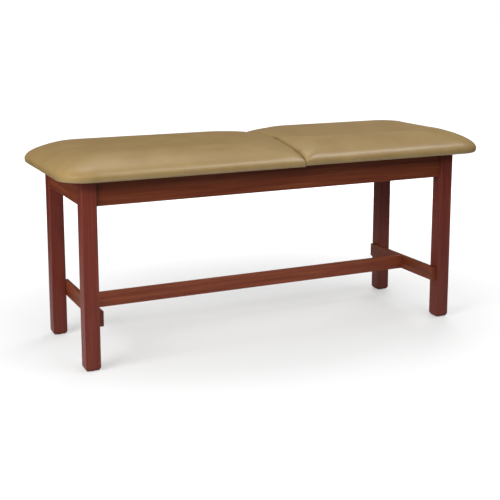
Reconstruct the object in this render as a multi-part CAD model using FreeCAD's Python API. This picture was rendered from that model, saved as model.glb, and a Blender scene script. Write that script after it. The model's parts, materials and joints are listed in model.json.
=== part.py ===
# Wooden examination table: an H-braced frame, a fixed upholstered section and a hinged backrest
# that is held up by a bail on notched racks.
# Frame of the part: origin on the floor under the middle of the top, +X towards the head end,
# +Y towards the rear, +Z up. All sizes are in millimetres.
import FreeCAD
import Part
import math
import os

Vec = FreeCAD.Vector

# Upholstered top
TOP_LENGTH = 1803.0        # over both sections
TOP_WIDTH = 676.0
SEAT_SECTION = 945.5       # fixed section, from the foot end to the hinge line
TOP_CORNER = 115.0         # plan radius of the four outer corners
SPLIT_CORNER = 12.0        # plan radius of the corners beside the hinge line
CORNER_TIGHTEN = 0.35      # share of the outer corners' radius that is lost up to the crown
SPLIT_CORNER_GROW = 28.0   # growth of the split corners' radius up to the crown, which domes them
SPLIT_FLAT = 5.0           # least half width that stays straight between those corners
EDGE_HEIGHT = 36.0         # rolled edge round each section
EDGE_TUCK = 7.0            # how far the roll draws in at the underside
SEAT_CROWN = 89.0          # highest part of the fixed section above its underside
BACK_CROWN = 93.0          # and of the backrest
ROLL_WIDTH = 178.0         # the crown falls away to the edge over this width
ROLL_POWER = 2.3           # how soon the crown flattens out
SPLIT_ROLL = 170.0         # width of the softer roll beside the hinge line
SPLIT_DROP = 10.0          # depth of that roll
SPLIT_EDGE = 14.0          # radius between that roll and the end below it
SPLIT_LIFT = 0.5           # the roll's arc peaks this far above the crown, so that it meets it at an angle
TUCK_ANGLES = (90.0, 45.0, 15.0)   # rings round the under half of the edge
NOSE_STEPS = (0.0, 1/6, 0.5, 1.0)  # rings round its upper half, as shares of its radius
ROLL_STEPS = (0.14, 0.32, 0.57, 0.82, 1.0)   # rings up the crown, as shares of its width
COVER_T = 1.2              # vinyl
FOAM_GAP = 0.3             # foam to vinyl, and foam to board edge
BOARD_T = 19.0             # plywood under each section
BOARD_INSET = 16.0         # board edge to the outside of the section
BOARD_GAP = 3.0            # board end to the hinge line
BOARD_CORNER = 22.0        # corners beside the hinge line, clear of the cover's domed ones
HEM_WIDTH = 37.0           # vinyl turned under the board
HEM_ROOM = 0.3             # rebate in the board past the vinyl

# Frame
FOOT_OVERHANG = 85.0       # top past the legs at the foot end
HEAD_OVERHANG = 118.0      # and at the head end
SIDE_OVERHANG = 77.5       # and along each side
FRAME_TOP = 712.0
LEG = 57.0                 # square section
LEG_EASE = 3.0             # rounded long edges
FOOT_BEVEL_H = 10.0
FOOT_BEVEL_IN = 5.0
APRON_H = 100.0
APRON_T = 20.0
APRON_EASE = 2.0
LONG_SETBACK = 12.0        # long apron behind the legs' front faces
END_SETBACK = 5.0          # end apron behind the legs' end faces
TENON_L = 22.0
TENON_T = 10.0
TENON_SHOULDER = 10.0
JOINT_GAP = 0.15           # glue room beside a tenon or a fastener
TENON_END_GAP = 1.0
RAIL_Z = 163.0             # underside of end rails and stretcher
RAIL_H = 58.0
END_RAIL_T = 19.0
STRETCHER_T = 22.0
RAIL_SETBACK = 17.0        # end rail ends behind the legs' outer faces
RAIL_EASE = 2.0
HINGE_RAIL_W = 76.0
HINGE_RAIL_T = 22.0
HINGE_RAIL_PAST = 28.0     # hinge rail past the hinge line, under the backrest
HINGE_TENON_L = 12.0
HINGE_TENON_T = 12.0
BRACE_T = 20.0
BRACE_H = 60.0
BRACE_ROOM = 4.0           # brace to the leg's inner corner
GLIDE_R = 16.0
GLIDE_H = 4.0
GLIDE_EASE = 1.0
GLIDE_NAIL_R = 2.0
GLIDE_NAIL_L = 16.0

# Screws, bolts and plugs
SCREW_R = 2.2
SCREW_HEAD_R = 4.5
SCREW_HEAD_H = 3.0
SCREW_BITE = 24.0          # length in the second piece of a frame joint
PLUG_R = 5.0
PLUG_H = 5.0
RAIL_SCREW_EDGE = 15.0     # screw line to the edge of a rail
BOARD_BITE = 13.0          # length in a board or an apron
BRACE_COUNTERBORE = 30.0
BOLT_R = 3.0
BOLT_BITE = 29.0           # length in the leg, along the diagonal
NUT_FLATS = 10.0
NUT_H = 5.0
WASHER_R = 9.0
WASHER_H = 1.5
BOLT_STAND = 3.0           # bolt end past the nut

# Hinges
HINGE_YS = (-180.0, 0.0, 180.0)
HINGE_L = 100.0
LEAF = 45.0                # hinge line to the leaf's far edge
LEAF_T = 2.5
BARREL_R = 5.0
PIN_R = 2.5
RUN_GAP = 0.06             # running clearance on a radius
KNUCKLE_GAP = 0.4
HINGE_RISE = 27.0          # hinge line above the fixed board, up in the foam
HINGE_SCREW_R = 1.8
HINGE_SCREW_HEAD_R = 3.5
HINGE_SCREW_HEAD_H = 1.5
HINGE_SCREWS = ((0.45, -0.36), (0.75, 0.0), (0.45, 0.36))  # shares of a leaf's width and length
LEAF_ROOM = 1.0            # pocket in foam, cover and board round a leaf
BACKREST_MAX = 60.0        # degrees above flat
SWING_SLACK = 2.0          # degrees that each end keeps clear of the other at full height

# Bail, racks and bumpers
BUMPER_H = 4.0
BUMPER_R = 8.5
BUMPERS = (0.27, 0.9)      # shares of the way from the hinge line to the head legs
BAR_ROOM = 9.2             # crossbar at rest to the corner braces at the head end
PIVOT_DROP = 11.0          # pivot below the backrest board
PIVOT_R = 5.0
BAR_R = 6.0
BAR_CHAMFER = 1.0
ARM_T = 5.0
ARM_W = 16.0
ARM_ROOM = 14.0            # arm to rack
ROD_PAST_ARM = 7.0
CAP_R = 8.0
CAP_T = 3.0
BAR_END_ROOM = 2.5         # crossbar end to the apron
BRACKET_ROOM = 24.0        # bracket to arm, middle to middle
BRACKET_LUG_T = 4.0
BRACKET_LUG_R = 11.0
BRACKET_PLATE_L = 56.0
BRACKET_PLATE_W = 28.0
BRACKET_PLATE_T = 2.5
BRACKET_CORNER = 4.5
BRACKET_SCREW_X = 20.0
RACK_T = 22.0
RACK_H = 30.0
RACK_ROOM = 0.3            # crossbar to the rack's top edge
RACK_PAST = (30.0, 8.0)    # rack past the bar's upper and lower end positions
NOTCH_ANGLES = (20.0, 30.0, 40.0, 50.0, 60.0)
NOTCH_DEPTH = 9.0
NOTCH_RAMP = 14.0          # easy side of a notch, which the bar slides out over
RACK_SCREWS = (0.12, 0.5, 0.88)    # shares of the rack's length

# Places worked out from the sizes above
HALF_L = TOP_LENGTH/2
HALF_W = TOP_WIDTH/2-SIDE_OVERHANG
FOOT_X = -HALF_L+FOOT_OVERHANG
HEAD_X = HALF_L-HEAD_OVERHANG
HINGE_X = -HALF_L+SEAT_SECTION
HINGE_Z = FRAME_TOP+BOARD_T+HINGE_RISE
END_SLOPE = BACKREST_MAX/2+SWING_SLACK
BACK_SECTION = TOP_LENGTH-SEAT_SECTION
BACK_Z = FRAME_TOP+BUMPER_H
APRON_Z = FRAME_TOP-APRON_H
APRON_IN_Y = HALF_W-LONG_SETBACK-APRON_T
BRACE_NEAR = 2*LEG+BRACE_ROOM      # sum of both distances from a leg's outer corner, at the brace's near face
BRACE_FAR = BRACE_NEAR+BRACE_T*math.sqrt(2)
BRACE_REACH = BRACE_FAR-LONG_SETBACK-APRON_T
PIVOT_ALONG = (HEAD_X-BRACE_REACH-BAR_ROOM-HINGE_X)/2
PIVOT_X = HINGE_X+PIVOT_ALONG
PIVOT_Z = BACK_Z-PIVOT_DROP
ARM_L = math.hypot(PIVOT_ALONG, HINGE_Z-PIVOT_Z)
RACK_TILT = math.degrees(math.atan2(HINGE_Z-PIVOT_Z, PIVOT_ALONG))
BAR_X = HINGE_X+2*PIVOT_ALONG
BAR_Z = 2*PIVOT_Z-HINGE_Z
ARM_Y = APRON_IN_Y-RACK_T-ARM_ROOM-ARM_T/2
BRACKET_Y = ARM_Y-BRACKET_ROOM
EPS = 0.01


def box(x0, x1, y0, y1, z0, z1):
    return Part.makeBox(x1-x0, y1-y0, z1-z0, Vec(x0, y0, z0))


def cylinder(place, direction, radius, length):
    return Part.makeCylinder(radius, length, Vec(*place), Vec(*direction))


def prism(points, direction):
    wire = Part.makePolygon([Vec(*p) for p in points+[points[0]]])
    return Part.Face(wire).extrude(Vec(*direction))


def join(shapes):
    first, rest = shapes[0], shapes[1:]
    return first.fuse(rest).removeSplitter() if rest else first


def ease(solid, radius, wanted):
    edges = [e for e in solid.Edges if wanted(e)]
    return solid.makeFillet(radius, edges)


def runs_along(edge, axis):
    a, b = edge.Vertexes[0].Point, edge.Vertexes[-1].Point
    return abs(abs((b-a).normalize().dot(axis))-1) < 1e-6


def corner_points(centre, radius, start):
    return [centre+Vec(math.cos(a), math.sin(a), 0)*radius
            for a in (math.radians(start+k*45) for k in range(3))]


def rounded_wire(x0, x1, y0, y1, z, left, right):
    """Rectangle with one radius for the two left corners and one for the two right corners."""
    arcs = [corner_points(Vec(x1-right, y1-right, z), right, 0),
            corner_points(Vec(x0+left, y1-left, z), left, 90),
            corner_points(Vec(x0+left, y0+left, z), left, 180),
            corner_points(Vec(x1-right, y0+right, z), right, 270)]
    edges = []
    for i, arc in enumerate(arcs):
        edges.append(Part.Arc(*arc).toShape())
        edges.append(Part.LineSegment(arc[2], arcs[(i+1) % 4][0]).toShape())
    return Part.Wire(edges)


def screw(place, direction, length, radius=SCREW_R, head_r=SCREW_HEAD_R, head_h=SCREW_HEAD_H):
    """Screw with its head's seat at place, the shank along direction and the head behind it."""
    back = [-d for d in direction]
    return join([cylinder(place, direction, radius, length), cylinder(place, back, head_r, head_h)])


def screw_hole(place, direction, length, radius=SCREW_R):
    return cylinder(place, direction, radius+JOINT_GAP, length+JOINT_GAP)


# Frame

def at_corner(shape, head, rear):
    """Moves a piece modelled at the foot-front leg's outer corner to another corner."""
    moved = shape
    if head:
        moved = moved.mirror(Vec(0, 0, 0), Vec(1, 0, 0))
    if rear:
        moved = moved.mirror(Vec(0, 0, 0), Vec(0, 1, 0))
    return moved.translated(Vec(HEAD_X if head else FOOT_X, HALF_W if rear else -HALF_W, 0))


def tenon_span(setback):
    start = setback+(APRON_T-TENON_T)/2
    return start, start+TENON_T


def leg_bolt_line():
    """Outer end of the diagonal bolt in a leg, from the leg's outer corner."""
    tip = LEG-BOLT_BITE/math.sqrt(2)
    return (tip, tip, FRAME_TOP-BRACE_H/2), (1, 1, 0)


def rail_screw_heights():
    return RAIL_Z+RAIL_SCREW_EDGE, RAIL_Z+RAIL_H-RAIL_SCREW_EDGE


def end_rail_screw_places():
    """Sideways place and height of an end rail's screws, from the leg's outer corner."""
    return [((RAIL_SETBACK+LEG)/2, z) for z in rail_screw_heights()]


def make_leg():
    section = rounded_wire(0, LEG, 0, LEG, GLIDE_H+FOOT_BEVEL_H, LEG_EASE, LEG_EASE)
    post = Part.Face(section).extrude(Vec(0, 0, FRAME_TOP-GLIDE_H-FOOT_BEVEL_H))
    sole = rounded_wire(FOOT_BEVEL_IN, LEG-FOOT_BEVEL_IN, FOOT_BEVEL_IN, LEG-FOOT_BEVEL_IN,
                        GLIDE_H, LEG_EASE, LEG_EASE)
    leg = join([post, Part.makeLoft([sole, section], True, True)])
    inner = LEG-TENON_L-TENON_END_GAP
    z0, z1 = APRON_Z+TENON_SHOULDER-JOINT_GAP, FRAME_TOP-TENON_SHOULDER+JOINT_GAP
    y0, y1 = tenon_span(LONG_SETBACK)
    x0, x1 = tenon_span(END_SETBACK)
    cuts = [box(inner, LEG, y0-JOINT_GAP, y1+JOINT_GAP, z0, z1),
            box(x0-JOINT_GAP, x1+JOINT_GAP, inner, LEG, z0, z1)]
    place, direction = leg_bolt_line()
    cuts.append(cylinder(place, direction, BOLT_R+JOINT_GAP, LEG))
    middle = LEG/2
    cuts.append(cylinder((middle, middle, 0), (0, 0, 1), GLIDE_NAIL_R+JOINT_GAP,
                         GLIDE_H+GLIDE_NAIL_L+JOINT_GAP))
    for y, z in end_rail_screw_places():
        cuts.append(screw_hole((LEG, y, z), (-1, 0, 0), SCREW_BITE))
    return leg.cut(cuts)


def make_glide():
    disc = Part.makeCylinder(GLIDE_R, GLIDE_H, Vec(LEG/2, LEG/2, 0))
    disc = ease(disc, GLIDE_EASE, lambda e: e.BoundBox.ZMax < EPS)
    nail = cylinder((LEG/2, LEG/2, 0), (0, 0, 1), GLIDE_NAIL_R, GLIDE_H+GLIDE_NAIL_L)
    return join([disc, nail])


def brace_screw_place():
    """Screw up into the fixed board: near the long apron, in the middle of the brace's thickness."""
    y = LONG_SETBACK+APRON_T+BRACE_T/2
    return (BRACE_NEAR+BRACE_FAR)/2-y, y


def make_brace(with_board_screw):
    x_in, y_in = END_SETBACK+APRON_T, LONG_SETBACK+APRON_T
    z0 = FRAME_TOP-BRACE_H
    brace = prism([(BRACE_NEAR-y_in, y_in, z0), (BRACE_REACH, y_in, z0), (x_in, BRACE_FAR-x_in, z0),
                   (x_in, BRACE_NEAR-x_in, z0)], (0, 0, BRACE_H))
    place, direction = leg_bolt_line()
    cuts = [cylinder(place, direction, BOLT_R+JOINT_GAP, 2*BRACE_FAR)]
    if with_board_screw:
        x, y = brace_screw_place()
        cuts.append(cylinder((x, y, z0), (0, 0, 1), SCREW_R+JOINT_GAP, BRACE_H))
        cuts.append(cylinder((x, y, z0), (0, 0, 1), SCREW_HEAD_R+JOINT_GAP, BRACE_COUNTERBORE))
    return brace.cut(cuts)


def make_bolt_and_nut():
    place, direction = leg_bolt_line()
    seat = Vec(BRACE_FAR/2, BRACE_FAR/2, place[2])
    axis = Vec(*direction).normalize()
    length = (seat-Vec(*place)).Length+WASHER_H+NUT_H+BOLT_STAND
    bolt = cylinder(place, direction, BOLT_R, length)
    washer = Part.makeCylinder(WASHER_R, WASHER_H, seat, axis)
    side = Vec(-axis.y, axis.x, 0)
    reach = NUT_FLATS/math.sqrt(3)
    start = seat+axis*WASHER_H
    points = []
    for k in range(6):
        a = math.radians(60*k)
        points.append(start+side*(reach*math.cos(a))+Vec(0, 0, reach*math.sin(a)))
    hexagon = Part.Face(Part.makePolygon(points+[points[0]])).extrude(axis*NUT_H)
    bore = cylinder(place, direction, BOLT_R+JOINT_GAP, 2*length)
    return bolt, join([washer, hexagon]).cut(bore)


def make_long_apron(rear):
    """Long apron, modelled at the front and turned to the rear by mirroring."""
    y0 = -HALF_W+LONG_SETBACK
    x0, x1 = FOOT_X+LEG, HEAD_X-LEG
    apron = box(x0, x1, y0, y0+APRON_T, APRON_Z, FRAME_TOP)
    apron = ease(apron, APRON_EASE, lambda e: runs_along(e, Vec(1, 0, 0)) and e.BoundBox.ZMax < APRON_Z+EPS)
    t0, t1 = tenon_span(LONG_SETBACK)
    z0, z1 = APRON_Z+TENON_SHOULDER, FRAME_TOP-TENON_SHOULDER
    apron = join([apron, box(x0-TENON_L, x1+TENON_L, -HALF_W+t0, -HALF_W+t1, z0, z1)])
    cuts = [hinge_rail_tenon(JOINT_GAP, TENON_END_GAP)]
    for x, z in rack_screw_places():
        cuts.append(screw_hole((x, -APRON_IN_Y, z), (0, -1, 0), BOARD_BITE))
    apron = apron.cut(cuts)
    return apron.mirror(Vec(0, 0, 0), Vec(0, 1, 0)) if rear else apron


def make_end_apron(head):
    x0 = FOOT_X+END_SETBACK
    y1 = HALF_W-LEG
    apron = box(x0, x0+APRON_T, -y1, y1, APRON_Z, FRAME_TOP)
    apron = ease(apron, APRON_EASE, lambda e: runs_along(e, Vec(0, 1, 0)) and e.BoundBox.ZMax < APRON_Z+EPS)
    t0, t1 = tenon_span(END_SETBACK)
    z0, z1 = APRON_Z+TENON_SHOULDER, FRAME_TOP-TENON_SHOULDER
    apron = join([apron, box(FOOT_X+t0, FOOT_X+t1, -y1-TENON_L, y1+TENON_L, z0, z1)])
    return mirror_to_head(apron) if head else apron


def mirror_to_head(shape):
    """Mirrors a foot-end piece of the frame to the head end."""
    return shape.mirror(Vec((FOOT_X+HEAD_X)/2, 0, 0), Vec(1, 0, 0))


def make_end_rail():
    """Foot-end rail with its screws and plugs: lapped on the legs, screwed to them and to the stretcher."""
    x0 = FOOT_X+LEG
    x1 = x0+END_RAIL_T
    y1 = HALF_W-RAIL_SETBACK
    rail = box(x0, x1, -y1, y1, RAIL_Z, RAIL_Z+RAIL_H)
    rail = ease(rail, RAIL_EASE, lambda e: runs_along(e, Vec(0, 1, 0)))
    bore = PLUG_H+SCREW_HEAD_H
    screws, stretcher_screws, plugs, cuts = [], [], [], []
    spots = []
    for side in (-1, 1):
        for y, z in end_rail_screw_places():
            spots.append((x1, side*(HALF_W-y), z, -1, screws))
    for z in rail_screw_heights():
        spots.append((x0, 0, z, 1, stretcher_screws))
    for x, y, z, way, group in spots:
        seat = (x+way*bore, y, z)
        group.append(screw(seat, (way, 0, 0), END_RAIL_T-bore+SCREW_BITE))
        plugs.append(cylinder((x, y, z), (way, 0, 0), PLUG_R, PLUG_H))
        cuts.append(cylinder((x, y, z), (way, 0, 0), PLUG_R+JOINT_GAP, bore))
        cuts.append(screw_hole(seat, (way, 0, 0), END_RAIL_T))
    return rail.cut(cuts), screws, stretcher_screws, plugs


def make_stretcher():
    x0, x1 = FOOT_X+LEG+END_RAIL_T, HEAD_X-LEG-END_RAIL_T
    bar = box(x0, x1, -STRETCHER_T/2, STRETCHER_T/2, RAIL_Z, RAIL_Z+RAIL_H)
    bar = ease(bar, RAIL_EASE, lambda e: runs_along(e, Vec(1, 0, 0)))
    cuts = []
    for z in rail_screw_heights():
        cuts.append(screw_hole((x0, 0, z), (1, 0, 0), SCREW_BITE))
        cuts.append(screw_hole((x1, 0, z), (-1, 0, 0), SCREW_BITE))
    return bar.cut(cuts)


def hinge_rail_tenon(side_gap, end_gap):
    """Stub tenon of the hinge rail in the front apron, or its mortise with room round it."""
    x1 = HINGE_X+HINGE_RAIL_PAST-TENON_SHOULDER
    x0 = HINGE_X+HINGE_RAIL_PAST-HINGE_RAIL_W+TENON_SHOULDER
    z = FRAME_TOP-HINGE_RAIL_T/2
    return box(x0-side_gap, x1+side_gap, -APRON_IN_Y-HINGE_TENON_L-end_gap, -APRON_IN_Y,
               z-HINGE_TENON_T/2-side_gap, z+HINGE_TENON_T/2+side_gap)


def hinge_rail_screw_places():
    """Screws up into the fixed board: between the hinges, on the board's side of the hinge line."""
    x = HINGE_X-BOARD_GAP-(HINGE_RAIL_W-HINGE_RAIL_PAST-BOARD_GAP)/2
    return [(x, (a+b)/2) for a, b in zip(HINGE_YS, HINGE_YS[1:])]


def make_hinge_rail():
    x1 = HINGE_X+HINGE_RAIL_PAST
    rail = box(x1-HINGE_RAIL_W, x1, -APRON_IN_Y, APRON_IN_Y, FRAME_TOP-HINGE_RAIL_T, FRAME_TOP)
    tenon = hinge_rail_tenon(0, 0)
    rail = join([rail, tenon, tenon.mirror(Vec(0, 0, 0), Vec(0, 1, 0))])
    holes = [screw_hole((x, y, FRAME_TOP-HINGE_RAIL_T), (0, 0, 1), HINGE_RAIL_T)
             for x, y in hinge_rail_screw_places()]
    return rail.cut(holes)


# Racks and bumpers

def along_rack(s, n):
    """Point in the XZ plane at a distance s down the bar's path from the hinge line, and n above it."""
    a = math.radians(RACK_TILT)
    return HINGE_X+s*math.cos(a)+n*math.sin(a), HINGE_Z-s*math.sin(a)+n*math.cos(a)


def bar_distance(angle):
    """How far down its path the bar is when the backrest stands at an angle."""
    return 2*ARM_L*math.cos(math.radians(angle))


def rack_span():
    return bar_distance(BACKREST_MAX)-RACK_PAST[0], bar_distance(0)+RACK_PAST[1]


def rack_screw_places():
    s0, s1 = rack_span()
    depth = BAR_R+RACK_ROOM+NOTCH_DEPTH+(RACK_H-NOTCH_DEPTH)/2
    return [along_rack(s0+(s1-s0)*share, -depth) for share in RACK_SCREWS]


def make_rack():
    """Front rack: a straight bar beside the apron, with a notch for each height of the backrest."""
    s0, s1 = rack_span()
    top = -(BAR_R+RACK_ROOM)
    y0 = -APRON_IN_Y

    def face(corners):
        return prism([(along_rack(s, n)[0], y0, along_rack(s, n)[1]) for s, n in corners], (0, RACK_T, 0))

    rack = face([(s0, top), (s1, top), (s1, top-RACK_H), (s0, top-RACK_H)])
    half = BAR_R+RACK_ROOM
    seat = top-NOTCH_DEPTH+half
    cuts = [screw_hole((x, y0+RACK_T, z), (0, -1, 0), RACK_T) for x, z in rack_screw_places()]
    for angle in NOTCH_ANGLES:
        s = bar_distance(angle)
        x, z = along_rack(s, seat)
        ramp = face([(s-half-NOTCH_RAMP, top), (s, top-NOTCH_DEPTH), (s, seat), (s+half, seat),
                     (s+half, top+EPS), (s-half-NOTCH_RAMP, top+EPS)])
        cuts += [ramp, cylinder((x, y0, z), (0, 1, 0), half, RACK_T)]
    return rack.cut(cuts)


def make_rack_screws():
    return [screw((x, -APRON_IN_Y+RACK_T, z), (0, -1, 0), RACK_T+BOARD_BITE) for x, z in rack_screw_places()]


def make_bumpers():
    y = APRON_IN_Y+APRON_T/2
    way = HEAD_X-LEG-HINGE_X
    return [cylinder((HINGE_X+way*share, side*y, FRAME_TOP), (0, 0, 1), BUMPER_R, BUMPER_H)
            for share in BUMPERS for side in (-1, 1)]


# Upholstered sections: u is the distance from the hinge line towards the section's outer end

def crown(d, height):
    """Height of a surface that rises to a crown, at a distance d inside the section's outline."""
    nose = EDGE_HEIGHT/2
    round_part = nose*math.sqrt(1-(1-min(d/nose, 1))**2)
    return nose+round_part+(height-EDGE_HEIGHT)*(1-(1-min(d/ROLL_WIDTH, 1))**ROLL_POWER)


def section_profile(height):
    """Edge profile of a section as (distance inside the outline, height), from the underside up."""
    nose = EDGE_HEIGHT/2
    lower = [(EDGE_TUCK*(1-math.cos(math.radians(a))), nose-nose*math.sin(math.radians(a)))
             for a in TUCK_ANGLES]
    steps = [nose*k for k in NOSE_STEPS]+[nose+(ROLL_WIDTH-nose)*k for k in ROLL_STEPS]
    return lower+[(d, crown(d, height)) for d in steps]


def offset_profile(profile, depth):
    """The same profile a given depth inside the section."""
    moved = []
    for i, (d, h) in enumerate(profile):
        if i == 0:
            moved.append((d+depth, h+depth))
        elif i == len(profile)-1:
            moved.append((d, h-depth))
        else:
            before, after = profile[i-1], profile[i+1]
            run, rise = after[0]-before[0], after[1]-before[1]
            size = math.hypot(run, rise)
            moved.append((d+depth*rise/size, h-depth*run/size))
    return moved


def cover_at_slope(depth):
    """Level thickness of a layer of the given depth on a section's sloping end."""
    return depth/math.cos(math.radians(END_SLOPE))


def end_gap():
    """A section's end to the hinge line, up to the hinge's height."""
    return BOARD_GAP-JOINT_GAP-cover_at_slope(COVER_T)


class Section:
    """Where one upholstered section lies and which way it runs from the hinge line."""
    def __init__(self, way, length, underside, crown_height):
        self.way = way
        self.length = length
        self.underside = underside
        self.crown_height = crown_height
        self.hinge_height = HINGE_Z-underside
        self.board_top = underside+BOARD_T

    def x(self, u):
        return HINGE_X+self.way*u

    def span(self, u0, u1):
        return sorted((self.x(u0), self.x(u1)))

    def slab(self, u0, u1, y0, y1, z0, z1):
        x0, x1 = self.span(u0, u1)
        return box(x0, x1, y0, y1, z0, z1)

    def point(self, place, y):
        """Point at (distance from the hinge line, height above the section's underside)."""
        return Vec(self.x(place.x), y, self.underside+place.y)

    def outline(self, inset, split, z, outer_corner, split_corner):
        x0, x1 = self.span(split, self.length-inset)
        y = TOP_WIDTH/2-inset
        corners = (outer_corner, split_corner) if self.way < 0 else (split_corner, outer_corner)
        return rounded_wire(x0, x1, -y, y, z, *corners)


SEAT = Section(-1, SEAT_SECTION, FRAME_TOP, SEAT_CROWN)
BACK = Section(1, BACK_SECTION, BACK_Z, BACK_CROWN)


def end_cut(section, depth):
    """What is cut off above a section's end: it slopes back over the hinge line and rolls into the crown."""
    y = TOP_WIDTH
    a = math.radians(END_SLOPE)
    up, inward = Vec(math.sin(a), math.cos(a), 0), Vec(math.cos(a), -math.sin(a), 0)
    drop = SPLIT_DROP+SPLIT_LIFT
    roll_r = (SPLIT_ROLL**2+drop**2)/(2*drop)
    roll = Vec(SPLIT_ROLL, section.crown_height+SPLIT_LIFT-roll_r, 0)
    foot = Vec(end_gap(), section.hinge_height, 0)
    edge = foot+inward*SPLIT_EDGE
    back = (edge-roll).dot(up)
    edge += up*(math.sqrt(back**2-(edge-roll).dot(edge-roll)+(roll_r-SPLIT_EDGE)**2)-back)
    top, out = Vec(0, 1, 0), (edge-roll).normalize()
    low, high = edge-inward*(SPLIT_EDGE-depth), edge+out*(SPLIT_EDGE-depth)
    middle = edge+(out-inward).normalize()*(SPLIT_EDGE-depth)
    crest, rise = roll+top*(roll_r-depth), roll+(top+out).normalize()*(roll_r-depth)
    start, over = low-up*section.crown_height, 2*section.crown_height
    lid = [Vec(crest.x, over, 0), Vec(start.x, over, 0)]

    def at(p):
        return section.point(p, -y)

    def line(p, q):
        return Part.LineSegment(at(p), at(q)).toShape()

    edges = [line(start, low), Part.Arc(at(low), at(middle), at(high)).toShape(),
             Part.Arc(at(high), at(rise), at(crest)).toShape(),
             line(crest, lid[0]), line(lid[0], lid[1]), line(lid[1], start)]
    return Part.Face(Part.Wire(edges)).extrude(Vec(0, 2*y, 0))


def make_pad(section, depth):
    """A section's crowned form, a given depth inside its outer surface."""
    outside = section_profile(section.crown_height)
    rings = []
    for (d, h), (d_out, h_out) in zip(offset_profile(outside, depth), outside):
        share = d_out/ROLL_WIDTH
        outer_corner = TOP_CORNER*(1-CORNER_TIGHTEN*share)-depth
        split_corner = min(SPLIT_CORNER*(1+SPLIT_CORNER_GROW*share), TOP_WIDTH/2-d-SPLIT_FLAT)
        rings.append(section.outline(d, end_gap()+cover_at_slope(depth), section.underside+h,
                                     outer_corner, split_corner))
    return Part.makeLoft(rings, True, False).cut(end_cut(section, depth))


def board_outline(section, grow):
    corner = TOP_CORNER-BOARD_INSET+grow
    return Part.Face(section.outline(BOARD_INSET-grow, BOARD_GAP-grow, section.underside, corner, BOARD_CORNER))


def leaf_pocket(section, height):
    """Room round each hinge leaf on a section's side of the hinge line, up to a height above the leaf."""
    z0 = FRAME_TOP+BOARD_T
    half = HINGE_L/2+LEAF_ROOM
    return [section.slab(0, LEAF+LEAF_ROOM, y-half, y+half, z0, z0+height) for y in HINGE_YS]


def barrel_pocket(section):
    """Room round each hinge barrel and the webs that carry it, in a section's end."""
    half = HINGE_L/2+LEAF_ROOM
    z0, z1 = FRAME_TOP+BOARD_T, HINGE_Z+BARREL_R+LEAF_ROOM
    return [section.slab(0, BARREL_R+KNUCKLE_GAP+LEAF_ROOM, y-half, y+half, z0, z1) for y in HINGE_YS]


def hinge_screw_places():
    """Screws of one leaf: distance from the hinge line, and place along it."""
    return [(LEAF*u, HINGE_L*y) for u, y in HINGE_SCREWS]


def hinge_screw_spots(section):
    return [(section.x(u), y+dy) for y in HINGE_YS for u, dy in hinge_screw_places()]


def make_board(section, cuts):
    board = board_outline(section, 0).extrude(Vec(0, 0, BOARD_T))
    z = section.underside
    keep_u = section.length-BOARD_INSET-HEM_WIDTH-HEM_ROOM
    keep_y = TOP_WIDTH/2-BOARD_INSET-HEM_WIDTH-HEM_ROOM
    rebate_h = COVER_T+HEM_ROOM
    whole = board_outline(section, 1).extrude(Vec(0, 0, rebate_h))
    middle = section.slab(-1, keep_u, -keep_y, keep_y, z-1, z+rebate_h+1)
    holes = [cylinder((x, y, HINGE_Z), (0, 0, -1), HINGE_SCREW_R+JOINT_GAP,
                      HINGE_Z-FRAME_TOP-BOARD_T+BOARD_BITE+JOINT_GAP) for x, y in hinge_screw_spots(section)]
    return board.cut([whole.cut(middle)]+holes+cuts)


def make_cover(section):
    shell = make_pad(section, 0).cut(make_pad(section, COVER_T))
    open_u = section.length-BOARD_INSET-HEM_WIDTH
    open_y = TOP_WIDTH/2-BOARD_INSET-HEM_WIDTH
    z = section.underside
    opening = section.slab(-1, open_u, -open_y, open_y, z-1, z+COVER_T+EPS)
    return shell.cut([opening]+leaf_pocket(section, LEAF_T+LEAF_ROOM)+barrel_pocket(section))


def make_foam(section):
    foam = make_pad(section, COVER_T+FOAM_GAP)
    board = board_outline(section, FOAM_GAP).extrude(Vec(0, 0, BOARD_T))
    pocket = leaf_pocket(section, section.board_top-FRAME_TOP-BOARD_T+LEAF_T+HINGE_SCREW_HEAD_H+LEAF_ROOM)
    return foam.cut([board]+pocket+barrel_pocket(section))


# Hinges

def knuckles():
    """Lengths along Y of a hinge's three knuckles, from its middle: outer two and the one between."""
    third = HINGE_L/3
    gap = KNUCKLE_GAP/2
    return [(-HINGE_L/2, -third/2-gap), (-third/2+gap, third/2-gap), (third/2+gap, HINGE_L/2)]


def make_leaf(section, y, own):
    z0 = FRAME_TOP+BOARD_T
    near = BARREL_R+KNUCKLE_GAP
    plate = section.slab(near, LEAF, y-HINGE_L/2, y+HINGE_L/2, z0, z0+LEAF_T)
    barrel = []
    for a, b in own:
        barrel.append(section.slab(0, near, y+a, y+b, z0, HINGE_Z))
        barrel.append(cylinder((HINGE_X, y+a, HINGE_Z), (0, 1, 0), BARREL_R, b-a))
    leaf = join([plate]+barrel)
    cuts = [cylinder((HINGE_X, y-HINGE_L, HINGE_Z), (0, 1, 0), PIN_R+RUN_GAP, 2*HINGE_L)]
    for u, dy in hinge_screw_places():
        cuts.append(cylinder((section.x(u), y+dy, z0), (0, 0, 1), HINGE_SCREW_R+JOINT_GAP, LEAF_T))
    return leaf.cut(cuts)


def make_hinge_screws(section):
    z = FRAME_TOP+BOARD_T+LEAF_T
    return [screw((x, y, z), (0, 0, -1), LEAF_T+BOARD_BITE, HINGE_SCREW_R, HINGE_SCREW_HEAD_R,
                  HINGE_SCREW_HEAD_H) for x, y in hinge_screw_spots(section)]


def make_pins():
    return [cylinder((HINGE_X, y-HINGE_L/2, HINGE_Z), (0, 1, 0), PIN_R, HINGE_L) for y in HINGE_YS]


# Bail

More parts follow.
